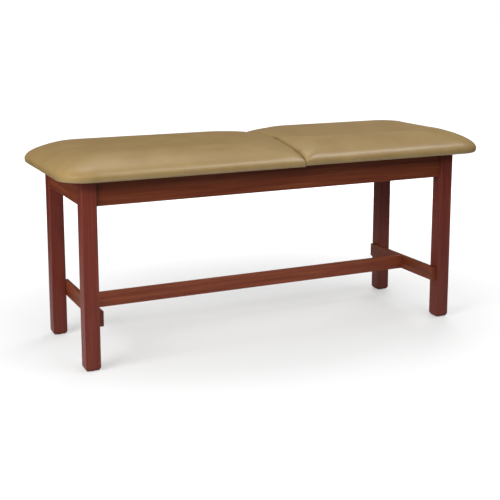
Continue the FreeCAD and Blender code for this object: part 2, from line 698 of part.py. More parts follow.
def make_arm(side):
    """Flat arm with round ends, from the pivot rod to the crossbar."""
    y0 = side*ARM_Y-ARM_T/2
    a = math.radians(RACK_TILT)
    across = Vec(math.sin(a), 0, math.cos(a))*(ARM_W/2)
    ends = [Vec(PIVOT_X, y0, PIVOT_Z), Vec(BAR_X, y0, BAR_Z)]
    corners = [ends[0]+across, ends[1]+across, ends[1]-across, ends[0]-across]
    plate = prism([tuple(c) for c in corners], (0, ARM_T, 0))
    rounds = [cylinder(tuple(e), (0, 1, 0), ARM_W/2, ARM_T) for e in ends]
    holes = [cylinder(tuple(e), (0, 1, 0), r+RUN_GAP, ARM_T) for e, r in zip(ends, (PIVOT_R, BAR_R))]
    return join([plate]+rounds).cut(holes)


def make_pivot_rod():
    half = ARM_Y+ARM_T/2+ROD_PAST_ARM
    return cylinder((PIVOT_X, -half, PIVOT_Z), (0, 1, 0), PIVOT_R, 2*half)


def make_rod_caps():
    caps = []
    for side in (-1, 1):
        y = side*(ARM_Y+ARM_T/2)
        ring = cylinder((PIVOT_X, y, PIVOT_Z), (0, side, 0), CAP_R, CAP_T)
        caps.append(ring.cut(cylinder((PIVOT_X, y, PIVOT_Z), (0, side, 0), PIVOT_R+RUN_GAP, CAP_T)))
    return caps


def make_crossbar():
    half = APRON_IN_Y-BAR_END_ROOM
    bar = cylinder((BAR_X, -half, BAR_Z), (0, 1, 0), BAR_R, 2*half)
    return bar.makeChamfer(BAR_CHAMFER, [e for e in bar.Edges if e.BoundBox.YLength < EPS])


def bracket_screw_places():
    return [(PIVOT_X+dx, side*BRACKET_Y) for side in (-1, 1) for dx in (-BRACKET_SCREW_X, BRACKET_SCREW_X)]


def make_bracket(side):
    """Plate under the backrest board with a lug that the pivot rod turns in."""
    y = side*BRACKET_Y
    half_l, half_w = BRACKET_PLATE_L/2, BRACKET_PLATE_W/2
    plate = box(PIVOT_X-half_l, PIVOT_X+half_l, y-half_w, y+half_w, BACK_Z-BRACKET_PLATE_T, BACK_Z)
    plate = ease(plate, BRACKET_CORNER, lambda e: runs_along(e, Vec(0, 0, 1)))
    y0 = y-BRACKET_LUG_T/2
    lug = box(PIVOT_X-BRACKET_LUG_R, PIVOT_X+BRACKET_LUG_R, y0, y0+BRACKET_LUG_T, PIVOT_Z, BACK_Z)
    eye = cylinder((PIVOT_X, y0, PIVOT_Z), (0, 1, 0), BRACKET_LUG_R, BRACKET_LUG_T)
    bore = cylinder((PIVOT_X, y-BRACKET_PLATE_W, PIVOT_Z), (0, 1, 0), PIVOT_R+RUN_GAP, 2*BRACKET_PLATE_W)
    holes = [screw_hole((x, yy, BACK_Z-BRACKET_PLATE_T), (0, 0, 1), BRACKET_PLATE_T)
             for x, yy in bracket_screw_places()]
    return join([plate, lug, eye]).cut([bore]+holes)


def make_bracket_screws():
    z = BACK_Z-BRACKET_PLATE_T
    return [screw((x, y, z), (0, 0, 1), BRACKET_PLATE_T+BOARD_BITE) for x, y in bracket_screw_places()]


# Screws that hold the fixed board down

def board_screw_spots():
    """Place of each screw's head seat, and the length to the board's underside."""
    x, y = brace_screw_place()
    z = FRAME_TOP-BRACE_H+BRACE_COUNTERBORE
    spots = [(FOOT_X+x, side*(HALF_W-y), z) for side in (-1, 1)]
    spots += [(hx, hy, FRAME_TOP-HINGE_RAIL_T) for hx, hy in hinge_rail_screw_places()]
    return spots


def make_board_screws():
    return [screw((x, y, z), (0, 0, 1), FRAME_TOP-z+BOARD_BITE) for x, y, z in board_screw_spots()]


def build():
    nodes = {}
    leg = make_leg()
    corners = [(head, rear) for head in (False, True) for rear in (False, True)]
    for head, rear in corners:
        name = "leg_{}_{}".format("head" if head else "foot", "rear" if rear else "front")
        nodes[name] = at_corner(leg, head, rear)
    nodes["floor_glides"] = [at_corner(make_glide(), *c) for c in corners]
    nodes["corner_braces"] = [at_corner(make_brace(not head), head, rear) for head, rear in corners]
    bolt, nut = make_bolt_and_nut()
    nodes["corner_bolts"] = [at_corner(bolt, *c) for c in corners]
    nodes["corner_nuts"] = [at_corner(nut, *c) for c in corners]
    nodes["apron_front"] = make_long_apron(False)
    nodes["apron_rear"] = make_long_apron(True)
    nodes["apron_foot"] = make_end_apron(False)
    nodes["apron_head"] = make_end_apron(True)
    rail, rail_screws, stretcher_screws, plugs = make_end_rail()
    nodes["end_rail_foot"] = rail
    nodes["end_rail_head"] = mirror_to_head(rail)
    nodes["end_rail_screws"] = rail_screws+[mirror_to_head(s) for s in rail_screws]
    nodes["stretcher_screws"] = stretcher_screws+[mirror_to_head(s) for s in stretcher_screws]
    nodes["rail_plugs"] = plugs+[mirror_to_head(p) for p in plugs]
    nodes["stretcher"] = make_stretcher()
    nodes["hinge_rail"] = make_hinge_rail()
    rack, rack_screws = make_rack(), make_rack_screws()
    nodes["rack_front"] = rack
    nodes["rack_rear"] = rack.mirror(Vec(0, 0, 0), Vec(0, 1, 0))
    nodes["rack_screws"] = rack_screws+[s.mirror(Vec(0, 0, 0), Vec(0, 1, 0)) for s in rack_screws]
    nodes["backrest_bumpers"] = make_bumpers()

    knuckle_spans = knuckles()
    seat_holes = [screw_hole((x, y, FRAME_TOP), (0, 0, 1), BOARD_BITE) for x, y, z in board_screw_spots()]
    nodes["seat_board"] = make_board(SEAT, seat_holes)
    nodes["seat_foam"] = make_foam(SEAT)
    nodes["seat_cover"] = make_cover(SEAT)
    nodes["seat_board_screws"] = make_board_screws()
    nodes["hinge_seat_leaves"] = [make_leaf(SEAT, y, knuckle_spans[0::2]) for y in HINGE_YS]
    nodes["hinge_seat_screws"] = make_hinge_screws(SEAT)
    nodes["hinge_pins"] = make_pins()

    back_holes = [screw_hole((x, y, BACK_Z), (0, 0, 1), BOARD_BITE) for x, y in bracket_screw_places()]
    nodes["back_board"] = make_board(BACK, back_holes+leaf_pocket(BACK, BOARD_T))
    nodes["back_foam"] = make_foam(BACK)
    nodes["back_cover"] = make_cover(BACK)
    nodes["hinge_back_leaves"] = [make_leaf(BACK, y, knuckle_spans[1:2]) for y in HINGE_YS]
    nodes["hinge_back_screws"] = make_hinge_screws(BACK)
    nodes["bail_brackets"] = [make_bracket(side) for side in (-1, 1)]
    nodes["bracket_screws"] = make_bracket_screws()

    nodes["bail_arm_front"] = make_arm(-1)
    nodes["bail_arm_rear"] = make_arm(1)
    nodes["pivot_rod"] = make_pivot_rod()
    nodes["rod_end_caps"] = make_rod_caps()
    nodes["crossbar"] = make_crossbar()
    return nodes


def main():
    os.makedirs("parts", exist_ok=True)
    for name, shape in build().items():
        whole = Part.makeCompound(shape) if isinstance(shape, list) else shape
        whole.exportStep("parts/{}.step".format(name))
        solids = whole.Solids
        print(name, len(solids), "solids", round(sum(s.Volume for s in solids)/1000, 2), "cm3",
              "valid" if whole.isValid() else "NOT VALID")


main()
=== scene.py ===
# %% [markdown]
# # A wooden examination table
# The table is a mahogany-stained frame with an H of rails near the floor, under a padded top in two
# sections. The head section hinges up as a backrest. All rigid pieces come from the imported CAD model
# and keep their shape here. This lesson gives them their finishes, sews the two pads, and sets up
# the photograph's camera and light.

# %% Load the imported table
import bmesh
import bpy
import json
import math
import numpy as np
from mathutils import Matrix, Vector


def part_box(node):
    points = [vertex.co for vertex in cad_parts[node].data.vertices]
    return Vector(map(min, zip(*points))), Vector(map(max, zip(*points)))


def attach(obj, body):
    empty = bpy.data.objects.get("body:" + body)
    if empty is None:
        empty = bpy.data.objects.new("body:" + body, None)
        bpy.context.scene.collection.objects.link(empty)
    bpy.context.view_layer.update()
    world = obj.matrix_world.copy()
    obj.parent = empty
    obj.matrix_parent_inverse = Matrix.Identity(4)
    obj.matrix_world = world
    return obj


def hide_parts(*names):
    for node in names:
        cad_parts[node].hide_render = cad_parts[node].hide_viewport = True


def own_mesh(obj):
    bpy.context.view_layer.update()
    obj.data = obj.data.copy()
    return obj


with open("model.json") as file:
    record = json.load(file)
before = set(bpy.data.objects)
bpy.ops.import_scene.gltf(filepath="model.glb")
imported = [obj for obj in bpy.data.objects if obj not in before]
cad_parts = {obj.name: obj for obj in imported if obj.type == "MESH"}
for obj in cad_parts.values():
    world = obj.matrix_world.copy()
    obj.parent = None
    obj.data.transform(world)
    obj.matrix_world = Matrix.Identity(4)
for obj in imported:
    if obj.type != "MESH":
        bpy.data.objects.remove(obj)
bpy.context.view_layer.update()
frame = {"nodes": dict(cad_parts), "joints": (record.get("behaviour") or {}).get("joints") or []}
nodes = frame["nodes"]
scene = bpy.context.scene
MM = 0.001

# %% [markdown]
# ## Camera
# The photograph keeps upright edges nearly parallel, so the camera stands back, is aimed only a
# little downwards, and makes up the rest with a small lens shift. Its place was found by fitting the
# legs' edges and feet, with the CAD sizes held.

# %% Camera
CAMERA_PLACE = (-1765, -3657, 1317)     # mm
CAMERA_TURN = math.degrees(0.4420)      # from straight along +Y towards +X
CAMERA_DOWN = math.degrees(0.1716)
IMAGE = 500                             # pixels, both ways
FOCAL = 1002.7                          # pixels
AXIS_ROW = 180                          # pixel row of the lens axis
SENSOR = 36                             # mm
CLIP_END = 200                          # m

camera = bpy.data.objects.new("camera", bpy.data.cameras.new("camera"))
scene.collection.objects.link(camera)
camera.location = Vector(CAMERA_PLACE)*MM
camera.rotation_euler = (math.radians(90-CAMERA_DOWN), 0, math.radians(-CAMERA_TURN))
camera.data.sensor_width = SENSOR
camera.data.lens = FOCAL/IMAGE*SENSOR
camera.data.shift_y = (AXIS_ROW-IMAGE/2)/IMAGE
camera.data.clip_end = CLIP_END
scene.camera = camera
print("lens", round(camera.data.lens, 1), "mm, shift", camera.data.shift_y)

# %% [markdown]
# ## Two small helpers
# Colours are written as sRGB hex values, as a colour picker shows them, and shaders want linear
# light, so one function converts them. A second one adds a node, sets its values and joins its
# inputs, which keeps each material down to a short list.

# %% Helpers for colours and nodes
def linear(hex_code):
    parts = [int(hex_code[i:i+2], 16)/255 for i in (1, 3, 5)]
    return [p/12.92 if p <= 0.04045 else ((p+0.055)/1.055)**2.4 for p in parts]+[1.0]


def add(tree, kind, inputs=None, **settings):
    """Adds a node, gives it its settings, and sets or links its inputs."""
    made = tree.nodes.new("ShaderNode"+kind)
    for key, value in settings.items():
        setattr(made, key, value)
    for key, value in (inputs or {}).items():
        if isinstance(value, bpy.types.NodeSocket):
            tree.links.new(value, made.inputs[key])
        else:
            made.inputs[key].default_value = value
    return made


def new_material(name):
    material = bpy.data.materials.new(name)
    material.use_nodes = True
    material.node_tree.nodes.clear()
    return material, material.node_tree


def ramp(tree, factor, stops):
    """Colour ramp with (place, hex colour) stops."""
    made = add(tree, "ValToRGB", {"Fac": factor})
    points = made.color_ramp.elements
    while len(points) < len(stops):
        points.new(0.5)
    for point, (place, colour) in zip(points, stops):
        point.position, point.color = place, linear(colour)
    return made.outputs["Color"]


print("white is", [round(c, 3) for c in linear("#FFFFFF")])

# %% [markdown]
# ## Stage
# The photograph is a cut-out on white with soft grey shadows. The table seems to have stood on a pale
# paper sweep in a room with dim, warm walls: upright faces mirror bright paper near the floor and
# little above. So the floor has three tones. Mirrors see pale paper that fades into a dark room,
# light that bounces up meets slightly darker paper, and the camera sees paper with some light of its
# own. That light is weak under the table and rises with the distance, so that the open floor reaches
# white and the floor round the table keeps a painted shade that deepens the shadow under it.

# %% Floor
FLOOR_HALF = 60.0                       # m
SWEEP_NEAR, SWEEP_FAR = 0.9, 2.6        # m from the middle, where the paper starts to fade and ends
SWEEP_STRETCH = 1.35                    # the paper is longer along the table
PAPER, ROOM = "#AEAEAE", "#2A2A2A"
MIRRORED, BOUNCE = "#C4C4C4", "#A8A8A8" # the paper in mirrors, and as it lights the table from below
GLOW_START = 0.5                        # m from the middle, just outside the shadow
GLOW_NEAR, GLOW_FAR = 0.36, 0.94        # light of its own that the floor shows to the camera, weak near the table as a painted shade

floor_material, tree = new_material("paper sweep in a dim studio")
path = add(tree, "LightPath")
place = add(tree, "Mapping", {"Vector": add(tree, "TexCoord").outputs["Object"],
                              "Scale": (1/SWEEP_STRETCH, 1, 0)})
away = add(tree, "VectorMath", {0: place.outputs[0]}, operation="LENGTH")
fade = add(tree, "MapRange", {"Value": away.outputs["Value"], "From Min": SWEEP_NEAR, "From Max": SWEEP_FAR},
           interpolation_type="SMOOTHSTEP")
near = add(tree, "Mix", {"Factor": path.outputs["Is Diffuse Ray"], 6: linear(MIRRORED), 7: linear(BOUNCE)},
           data_type="RGBA")
shade = add(tree, "Mix", {"Factor": fade.outputs[0], 6: near.outputs[2], 7: linear(ROOM)}, data_type="RGBA")
bounced = add(tree, "BsdfDiffuse", {"Color": shade.outputs[2]})
paper = add(tree, "BsdfDiffuse", {"Color": linear(PAPER)})
# The floor's own light is weakest under the table and rises outwards: a painted shade that deepens the shadow
# there.
rise = add(tree, "MapRange", {"Value": away.outputs["Value"], "From Min": GLOW_START, "From Max": SWEEP_FAR,
                              "To Min": GLOW_NEAR, "To Max": GLOW_FAR})
glow = add(tree, "Emission", {"Color": linear("#FFFFFF"), "Strength": rise.outputs[0]})
seen = add(tree, "AddShader", {0: paper.outputs[0], 1: glow.outputs[0]})
both = add(tree, "MixShader", {0: path.outputs["Is Camera Ray"], 1: bounced.outputs[0], 2: seen.outputs[0]})
add(tree, "OutputMaterial", {"Surface": both.outputs[0]})

corners = [(x*FLOOR_HALF, y*FLOOR_HALF, 0) for x, y in ((-1, -1), (1, -1), (1, 1), (-1, 1))]
floor_mesh = bpy.data.meshes.new("floor")
floor_mesh.from_pydata(corners, [], [(0, 1, 2, 3)])
floor_mesh.materials.append(floor_material)
floor = bpy.data.objects.new("floor", floor_mesh)
scene.collection.objects.link(floor)
print("floor", 2*FLOOR_HALF, "m square")

# %% [markdown]
# ## Light
# A broad lamp overhead, a little from behind, lays the shadow under the top. A long narrow box high at
# the right is the one that the vinyl mirrors: it draws the pale line along the rolled front edges.
# The strip in front, the box at the left and the box behind only fill in, so mirrors don't see them.

# %% Sky and lamps
SKY_LIT, SKY_MIRRORED = "#9A9A9A", "#816C55"       # what lights the table, and the walls it mirrors
OVERHEAD_LEVEL, OVERHEAD_SPREAD = 0.55, 34         # W/m2, degrees
OVERHEAD_LEAN = (-20, 6)                           # degrees about X and Y, from straight down
# Boxes: places and sizes in m, power in W.
STRIP = {"place": (-0.6, -3.3, 2.5), "power": 60, "size": 4.5, "size_y": 0.6}
RIGHT_BOX = {"place": (1.45, -1.55, 3.1), "power": 40, "size": 2.8, "size_y": 0.5}
REAR_BOX = {"place": (2.8, 3.0, 2.3), "power": 95, "size": 2.4, "size_y": 2.0}
LEFT_BOX = {"place": (-3.4, -1.4, 1.8), "power": 138, "size": 2.4, "size_y": 2.0}
AIM = (0, 0, 0.6)

world = bpy.data.worlds.new("dim studio")
scene.world = world
world.use_nodes = True
tree = world.node_tree
tree.nodes.clear()
path = add(tree, "LightPath")
room = add(tree, "Mix", {0: path.outputs["Is Glossy Ray"], 6: linear(SKY_LIT), 7: linear(SKY_MIRRORED)},
           data_type="RGBA")
seen = add(tree, "Mix", {0: path.outputs["Is Camera Ray"], 6: room.outputs[2], 7: linear("#FFFFFF")},
           data_type="RGBA")
sky = add(tree, "Background", {"Color": seen.outputs[2], "Strength": 1.0})
add(tree, "OutputWorld", {"Surface": sky.outputs[0]})


def lamp(name, kind, level):
    made = bpy.data.objects.new(name, bpy.data.lights.new(name, kind))
    made.data.energy = level
    scene.collection.objects.link(made)
    return made


def soft_box(name, place, power, size, size_y, mirrored=False):
    made = lamp(name, "AREA", power)
    made.data.shape, made.data.size, made.data.size_y = "RECTANGLE", size, size_y
    made.location = place
    made.rotation_euler = (Vector(AIM)-made.location).to_track_quat("-Z", "Y").to_euler()
    made.visible_glossy = mirrored          # if not, it only fills in


overhead = lamp("overhead_lamp", "SUN", OVERHEAD_LEVEL)
overhead.data.angle = math.radians(OVERHEAD_SPREAD)
overhead.rotation_euler = [math.radians(a) for a in OVERHEAD_LEAN]+[0]
soft_box("strip_box", **STRIP)
soft_box("left_box", **LEFT_BOX)
soft_box("rear_box", **REAR_BOX)
soft_box("right_box", **RIGHT_BOX, mirrored=True)
scene.view_settings.view_transform = "Standard"

# %% [markdown]
# ## Mahogany stain under satin lacquer
# The frame is sawn hardwood with a red-brown stain and a satin lacquer. To the eye that gives long
# soft streaks along each board, short dark pores, and a clear coat that lightens at low angles. The
# streaks have to run along each piece, so one function makes the same finish for each direction.

# %% Stained wood
STREAK_WIDTH, STREAK_LENGTH = 14, 420   # mm
PORE_WIDTH, PORE_LENGTH = 3, 60         # mm; real pores are finer and would not show at this size


def stretched_noise(tree, along, width, length, detail, offset=0.0):
    """Noise drawn out along one axis, with its grain sizes in mm."""
    place = add(tree, "TexCoord")
    scale = [1/(length*MM) if axis == along else 1/(width*MM) for axis in "XYZ"]
    spread = add(tree, "Mapping", {"Vector": place.outputs["Object"], "Scale": scale,
                                   "Location": (offset, offset, offset)})
    return add(tree, "TexNoise", {"Vector": spread.outputs[0], "Scale": 1.0, "Detail": detail,
                                  "Roughness": 0.55, "Distortion": 0.25}).outputs["Fac"]


def stained_wood(name, along, tone):
    material, tree = new_material("lacquered mahogany, "+name)
    streaks = stretched_noise(tree, along, STREAK_WIDTH, STREAK_LENGTH, 4)
    pores = stretched_noise(tree, along, PORE_WIDTH, PORE_LENGTH, 2, 3.7)
    colour = ramp(tree, streaks, [(0.30, tone[0]), (0.52, tone[1]), (0.75, tone[2])])
    dark = add(tree, "MapRange", {"Value": pores, "From Min": 0.55, "From Max": 0.75,
                                  "To Min": 0.0, "To Max": 0.45})
    mixed = add(tree, "Mix", {"Factor": dark.outputs[0], 6: colour, 7: linear(tone[0])}, data_type="RGBA")
    rough = add(tree, "MapRange", {"Value": streaks, "To Min": 0.38, "To Max": 0.52})
    bump = add(tree, "Bump", {"Height": pores, "Strength": 0.08, "Distance": 0.4*MM})
    surface = add(tree, "BsdfPrincipled", {"Base Color": mixed.outputs[2], "Roughness": rough.outputs[0],
                                           "Normal": bump.outputs[0], "Specular IOR Level": 0.3})
    add(tree, "OutputMaterial", {"Surface": surface.outputs[0]})
    return material


def dress(material, *names):
    for name in names:
        nodes[name].data.materials.clear()
        nodes[name].data.materials.append(material)


RED_TONE = ("#541F19", "#632A20", "#733428")            # legs
BROWN_TONE = ("#562514", "#67311C", "#784025")          # aprons, end rails and inner pieces
LIGHT_TONE = ("#632B1B", "#763A25", "#87482F")          # the stretcher and rail plugs are drawn a paler tone than the aprons
legs = ["leg_{}_{}".format(end, side) for end in ("foot", "head") for side in ("front", "rear")]
dress(stained_wood("upright", "Z", RED_TONE), *legs)
dress(stained_wood("lengthwise", "X", BROWN_TONE), "apron_front", "apron_rear", "rack_front", "rack_rear")
dress(stained_wood("pale lengthwise", "X", LIGHT_TONE), "stretcher", "rail_plugs")
dress(stained_wood("crosswise", "Y", BROWN_TONE), "apron_foot", "apron_head", "end_rail_foot",
      "end_rail_head", "hinge_rail", "corner_braces")
print("stained wood in", len([m for m in bpy.data.materials if "mahogany" in m.name]), "directions and tones")

# %% [markdown]
# ## Plywood, metal, nylon and rubber
# These show from below and when the backrest is up. The boards are bare birch plywood with a broad
# pale figure. The bail and the hinges are zinc-plated mild steel: a metal with a soft, slightly
# uneven gloss. Glides and caps are moulded nylon, and the bumpers are rubber.

# %% Board, steel and plastics
FIGURE_WIDTH, FIGURE_LENGTH = 30, 500   # mm
PLATING_SPECK = 6                       # mm
UNEVEN = 0.08                           # roughness, more or less from speck to speck


def plywood():
    material, tree = new_material("birch plywood")
    figure = stretched_noise(tree, "X", FIGURE_WIDTH, FIGURE_LENGTH, 3)
    colour = ramp(tree, figure, [(0.3, "#A5855B"), (0.55, "#BF9F74"), (0.8, "#CDB28A")])
    bump = add(tree, "Bump", {"Height": figure, "Strength": 0.1, "Distance": 0.3*MM})
    surface = add(tree, "BsdfPrincipled", {"Base Color": colour, "Roughness": 0.7, "Normal": bump.outputs[0]})
    add(tree, "OutputMaterial", {"Surface": surface.outputs[0]})
    return material


def speckled(name, low, high, roughness, metallic, speck):
    """Two close shades and an uneven gloss in small specks, for plated metal and moulded plastic."""
    material, tree = new_material(name)
    place = add(tree, "TexCoord")
    noise = add(tree, "TexNoise", {"Vector": place.outputs["Object"], "Scale": 1/(speck*MM), "Detail": 2.0})
    colour = ramp(tree, noise.outputs["Fac"], [(0.35, low), (0.65, high)])
    rough = add(tree, "MapRange", {"Value": noise.outputs["Fac"], "To Min": roughness-UNEVEN,
                                   "To Max": roughness+UNEVEN})
    surface = add(tree, "BsdfPrincipled", {"Base Color": colour, "Roughness": rough.outputs[0],
                                           "Metallic": metallic})
    add(tree, "OutputMaterial", {"Surface": surface.outputs[0]})
    return material


steel = speckled("zinc-plated mild steel", "#A9ABAD", "#C2C4C6", 0.34, 1.0, PLATING_SPECK)
screws = speckled("bright zinc fasteners", "#B4B4AE", "#CFCFC8", 0.28, 1.0, PLATING_SPECK)
nylon = speckled("moulded black nylon", "#141211", "#211E1C", 0.45, 0.0, PLATING_SPECK)
rubber = speckled("black rubber", "#101010", "#1A1A1A", 0.75, 0.0, PLATING_SPECK)
dress(plywood(), "seat_board", "back_board")
dress(steel, "hinge_seat_leaves", "hinge_back_leaves", "bail_brackets", "bail_arm_front", "bail_arm_rear",
      "pivot_rod", "crossbar")
dress(screws, "end_rail_screws", "stretcher_screws", "rack_screws", "seat_board_screws", "hinge_seat_screws",
      "hinge_back_screws", "bracket_screws", "corner_bolts", "corner_nuts", "hinge_pins")
dress(nylon, "floor_glides", "rod_end_caps")
dress(rubber, "backrest_bumpers")
print("dressed board, steel, screws, nylon and rubber")

# %% [markdown]
# ## Upholstery vinyl
# The cover is a tan coated fabric, embossed with a fine leather grain. Seen close it is a net of
# small pebbles, and from the photograph's distance only a soft, slightly uneven sheen is left. The
# real pebble is about 1 mm; it is drawn at 4 mm here so that the render can show it at all.

# %% Vinyl
PEBBLE = 4             # mm
MOTTLE = 90            # mm, slow changes of shade


def vinyl():
    material, tree = new_material("embossed upholstery vinyl")
    place = add(tree, "TexCoord").outputs["Object"]
    pebbles = add(tree, "TexVoronoi", {"Vector": place, "Scale": 1/(PEBBLE*MM)}, feature="SMOOTH_F1")
    mottle = add(tree, "TexNoise", {"Vector": place, "Scale": 1/(MOTTLE*MM), "Detail": 5.0, "Roughness": 0.6})
    colour = ramp(tree, mottle.outputs["Fac"], [(0.30, "#846D43"), (0.50, "#8B744A"), (0.72, "#917A4F")])
    rough = add(tree, "MapRange", {"Value": mottle.outputs["Fac"], "To Min": 0.36, "To Max": 0.44})
    bump = add(tree, "Bump", {"Height": pebbles.outputs["Distance"], "Strength": 0.10, "Distance": 0.25*MM})
    surface = add(tree, "BsdfPrincipled", {"Base Color": colour, "Roughness": rough.outputs[0],
                                           "Normal": bump.outputs[0], "IOR": 1.5, "Specular IOR Level": 0.72})
    add(tree, "OutputMaterial", {"Surface": surface.outputs[0]})
    return material


tan_vinyl = vinyl()
print(tan_vinyl.name)

# %% [markdown]
# ## Shape of a pad
# Each pad is a low dome with a rolled edge, wrapped over a board and stapled under it. It could be
# lofted through rings, but the end beside the hinge is shaped differently from the other three, so
# the top is a height field: one formula for the dome, one for the end, and the lower of the two
# counts. Distances are in mm, and u runs from the hinge line to the pad's outer end.

# %% Pad sizes
HINGE = [j for j in frame["joints"] if j["name"] == "backrest_hinge"][0]["pos_m"]
HINGE_X, HINGE_Z = HINGE[0]/MM, HINGE[2]/MM
HALF_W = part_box("seat_cover")[1].y/MM
OUTER_CORNER, CORNER_TIGHTEN = 115, 0.35    # plan radius at the rim, and the share lost up to the crown
SPLIT_CORNER = 4                            # plan radius at the rim beside the hinge
SPLIT_PULL, PULL_DEPTH = 12, 8              # inside the rim, that corner is pulled round by this much more
SPLIT_FLAT = 5                              # least straight length left in the middle of that end
EDGE_HEIGHT, EDGE_TUCK = 36, 7              # rolled edge, and how far it draws in underneath
CROWN_WIDTH, CROWN_POWER = 178, 2.3
HEM_WIDTH, HEM_T, HEM_LIFT = 46, 1.2, 0.3   # vinyl turned under the board
NOSE, EDGE_ROUND = EDGE_HEIGHT/2, 34        # rim to the top of the roll: height, and width
SPLIT_GAP = 0.7                             # pad's end to the hinge line
SPLIT_SLOPE = math.radians(32)              # how far the end leans back, above the hinge line
HALVINGS, ROUNDS = 40, 30                   # steps of the two searches below


class Pad:
    """One section: which way it runs from the hinge line, and its length, underside and crown. Beside the
    hinge it has a shallow roll of some width and depth, and corners that grow into a dome."""
    def __init__(self, part, way, roll_width, roll_depth, grow):
        low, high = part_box(part+"_cover")
        self.part, self.way = part, way
        self.length = abs((high.x if way > 0 else low.x)/MM-HINGE_X)
        self.base = low.z/MM
        self.crown = (high.z-low.z)/MM
        self.hinge = HINGE_Z-self.base
        self.grow, self.roll_u = grow, roll_width
        self.roll_r = (roll_width**2+roll_depth**2)/(2*roll_depth)
        self.roll_h = self.crown-self.roll_r

    def point(self, u, y, h):
        return np.stack(np.broadcast_arrays(HINGE_X+self.way*u, y, self.base+h), -1)*MM


SEAT, BACK = Pad("seat", -1, 90, 4, 360), Pad("back", 1, 150, 11, 360)
print("pads", round(SEAT.length), "and", round(BACK.length), "mm long, half width", round(HALF_W))

# %% Heights over a pad
def dome(pad, u, y):
    """Height of the dome, from how far a point lies inside the outline."""
    def room(d):
        a, b = pad.length-d-u, HALF_W-d-np.abs(y)
        r = OUTER_CORNER*(1-CORNER_TIGHTEN*d/CROWN_WIDTH)
        outer = np.where((a < r) & (b < r), r-np.hypot(r-a, r-b), np.minimum(a, b))
        s = np.maximum(u-SPLIT_GAP, 0)
        r = SPLIT_CORNER+SPLIT_PULL*(1-np.exp(-d/PULL_DEPTH))+pad.grow*d/CROWN_WIDTH
        r = np.minimum(r, HALF_W-d-SPLIT_FLAT)
        split = np.where((s < r) & (b < r), r-np.hypot(r-s, r-b), b)
        return np.minimum(outer, split)

    low, high = np.zeros_like(u), np.full_like(u, CROWN_WIDTH)
    for _ in range(HALVINGS):
        middle = (low+high)/2
        deeper = room(middle) > 0
        low, high = np.where(deeper, middle, low), np.where(deeper, high, middle)
    nose = np.clip(low/EDGE_ROUND, 0, 1)
    rise = 1-(1-np.clip(low/CROWN_WIDTH, 0, 1))**CROWN_POWER
    return NOSE+NOSE*np.sqrt(1-(1-nose)**2)+(pad.crown-EDGE_HEIGHT)*rise


def roll(pad, u):
    """Height of the end's shallow roll."""
    return pad.roll_h+np.sqrt(pad.roll_r**2-(np.minimum(u, pad.roll_u)-pad.roll_u)**2)


def slope(pad, u):
    return pad.hinge+(u-SPLIT_GAP)/math.tan(SPLIT_SLOPE)


def shoulder(pad):
    """Where the leaning end meets the roll."""
    u = 0.0
    for _ in range(ROUNDS):
        u = SPLIT_GAP+(float(roll(pad, u))-pad.hinge)*math.tan(SPLIT_SLOPE)
    return u


print("shoulders", round(shoulder(SEAT), 1), round(shoulder(BACK), 1), "mm from the hinge line")

# %% [markdown]
# ## Mesh of a pad
# The grid is close where the form turns and wide on the crown. Its corners are pressed round, as a
# square sheet is pulled over a rounded board, then the rim is carried down round the edge and under
# as a hem.

# %% Pad mesh
STEP = 12                                   # mm between grid lines on the crown
SHOULDER_LINE = 4                           # grid line on the shoulder, which keeps a sharp edge
TURNS = [EDGE_ROUND*(1-math.cos(math.radians(a))) for a in range(0, 91, 15)]+[44]     # mm in from the rim
FIRST_LINES, ROLL_LINES = [0, 1.5, 4], (0, 5, 12, 21, 31)       # mm, up the leaning end and past its shoulder
TUCK_TURNS = (0.35, 0.7, 1.1, math.pi/2)    # radians round the lower edge
HEM_SHARES = (0.15, 0.5, 1)                 # of the hem's width


def grid_lines(start, end, close_start, close_end):
    a = [start+c for c in close_start]
    b = [end-c for c in close_end][::-1]
    count = max(2, round((b[0]-a[-1])/STEP))
    return np.array(a[:-1]+list(np.linspace(a[-1], b[0], count+1))+b[1:])


def press_corners(u, y, pad):
    """Pulls the grid's square corners onto the outline's round ones."""
    for edge, way, r in ((pad.length, 1, OUTER_CORNER), (SPLIT_GAP, -1, SPLIT_CORNER)):
        p, q = (way*(u-edge)+r)/r, (np.abs(y)-HALF_W+r)/r
        near = (p > 0) & (q > 0)
        p, q = np.clip(p, 0, 1), np.clip(q, 0, 1)
        u = np.where(near, edge+way*(p*np.sqrt(1-q*q/2)*r-r), u)
        y = np.where(near, np.sign(y)*(HALF_W-r+q*np.sqrt(1-p*p/2)*r), y)
    return u, y


def rim_rings(pad, u, y, h):
    """Rings below the rim: round the edge, under the board, and up to it. The hinge side goes straight
    down."""
    at_split = (u < SPLIT_GAP+0.01) & (np.abs(y) < HALF_W-SPLIT_CORNER)
    corner = np.where(u > pad.length/2, OUTER_CORNER, SPLIT_CORNER)
    out_u = u-np.clip(u, SPLIT_GAP+SPLIT_CORNER, pad.length-OUTER_CORNER)
    out_y = y-np.clip(y, corner-HALF_W, HALF_W-corner)
    size = np.maximum(np.hypot(out_u, out_y), 1e-6)
    out_u, out_y = np.where(at_split, 0, out_u/size), np.where(at_split, 0, out_y/size)
    steps = [(EDGE_TUCK*(1-math.cos(a)), NOSE*(1-math.sin(a))) for a in TUCK_TURNS]
    steps += [(EDGE_TUCK+HEM_WIDTH*k, 0) for k in HEM_SHARES]+[(EDGE_TUCK+HEM_WIDTH, HEM_T)]
    return [(u-out_u*inset, y-out_y*inset, np.maximum(h*height/NOSE, HEM_LIFT)) for inset, height in steps]


def show(name, points, faces, flip):
    """Makes a smooth mesh object from points and faces."""
    mesh = bpy.data.meshes.new(name)
    mesh.from_pydata(points.tolist(), [], [[int(i) for i in (f[::-1] if flip else f)] for f in faces])
    mesh.shade_smooth()
    mesh.materials.append(tan_vinyl)
    made = bpy.data.objects.new(name, mesh)
    scene.collection.objects.link(made)
    print(name, len(mesh.vertices), "points")
    return made


